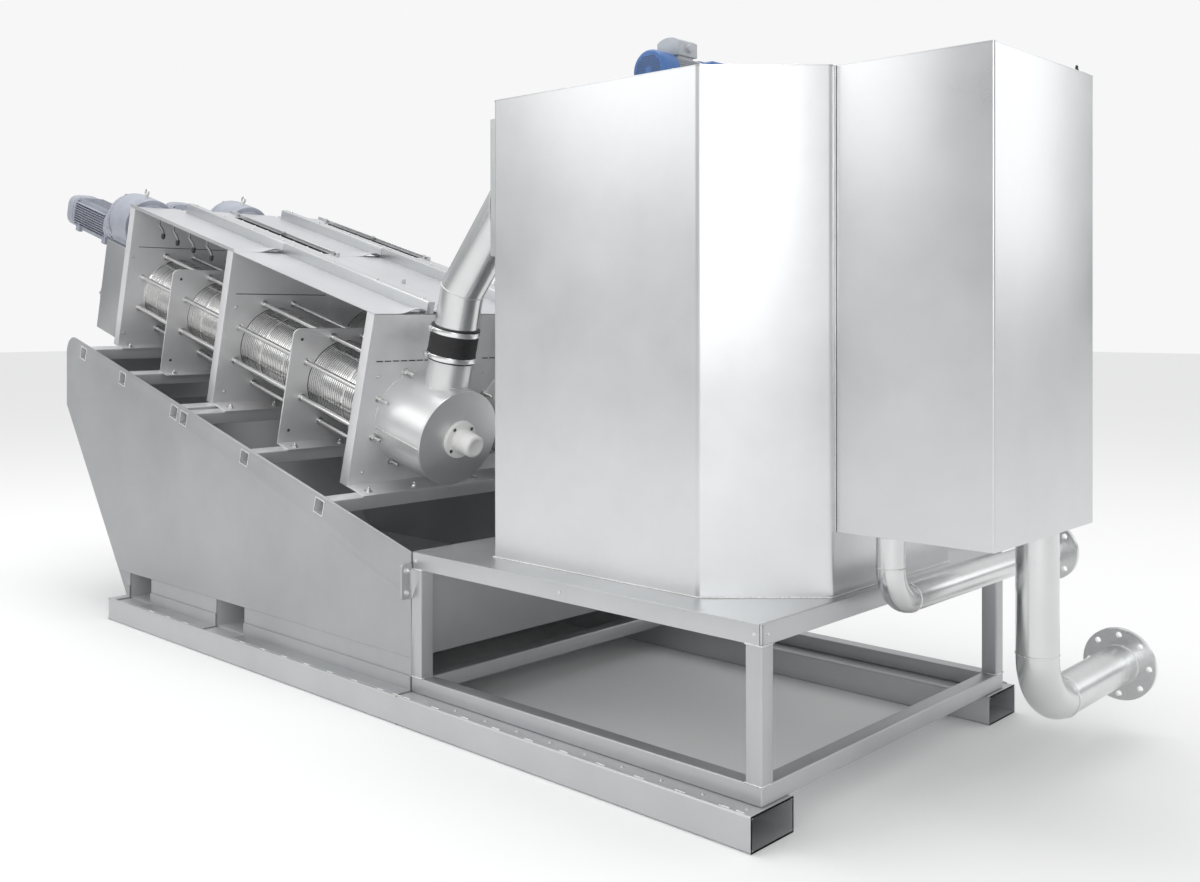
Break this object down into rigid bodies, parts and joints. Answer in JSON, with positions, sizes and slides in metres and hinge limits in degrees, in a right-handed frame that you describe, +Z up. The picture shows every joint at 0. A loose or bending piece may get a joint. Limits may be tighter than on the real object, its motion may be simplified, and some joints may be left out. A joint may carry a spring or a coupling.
{
  "type": "screw press",
  "caption": "Skid-mounted sludge screw press: inclined screen drums with geared drives over a cake hopper, fed from a stainless conditioning tank with a level box.",
  "frame": {"origin": "bottom centre of the overall box, on the floor under the middle of the plant", "axes": "+X towards the tank end, +Y towards the side where the drain and overflow flanges are, +Z up"},
  "size_m": [4.8012, 1.496, 2.17],
  "materials": {
    "steel": "bead-blasted stainless sheet and tube",
    "bright_steel": "smooth rolled stainless",
    "grey_paint": "grey-blue machine paint",
    "blue_paint": "blue machine paint",
    "white_plastic": "moulded white plastic",
    "rubber": "black hose rubber"
  },
  "bodies": {
    "root": {"bearing_cap_far": "white_plastic", "bearing_cap_near": "white_plastic", "coupling_far": "rubber", "coupling_near": "rubber", "cover_far": "steel", "cover_near": "steel", "deck": "steel", "drain_pipe": "bright_steel", "drive_housing_far": "steel", "drive_housing_near": "steel", "drum_far": "bright_steel", "drum_near": "bright_steel", "feed_pipe_far": "bright_steel", "feed_pipe_near": "bright_steel", "fork_channel_front": "steel", "fork_channel_rear": "steel", "gearmotor_far": "grey_paint", "gearmotor_near": "grey_paint", "half_plate_front_far": "steel", "half_plate_front_near": "steel", "half_plate_rear_far": "steel", "half_plate_rear_near": "steel", "hopper_floor": "steel", "hopper_foot_front_far": "steel", "hopper_foot_front_near": "steel", "hopper_foot_mid_far": "steel", "hopper_foot_mid_near": "steel", "hopper_front_wall": "steel", "hopper_rear_wall": "steel", "hopper_side_far": "steel", "hopper_side_near": "steel", "inlet_chamber_far": "steel", "inlet_chamber_near": "steel", "level_box": "steel", "level_box_lid": "steel", "mixer_motor": "blue_paint", "overflow_pipe": "bright_steel", "plate_front_far": "steel", "plate_front_near": "steel", "plate_mid_far": "steel", "plate_mid_near": "steel", "plate_rear_far": "steel", "plate_rear_near": "steel", "skid_front_far": "steel", "skid_front_near": "steel", "skid_rear_far": "steel", "skid_rear_near": "steel", "stand_base": "steel", "stand_post_front_far": "steel", "stand_post_front_near": "steel", "stand_post_rear_far": "steel", "stand_post_rear_near": "steel", "support_beam_a": "steel", "support_beam_b": "steel", "support_beam_c": "steel", "support_beam_d": "steel", "support_beam_e": "steel", "support_beam_f": "steel", "tank_lid": "steel", "tank_shell": "steel"}
  },
  "joints": []
}
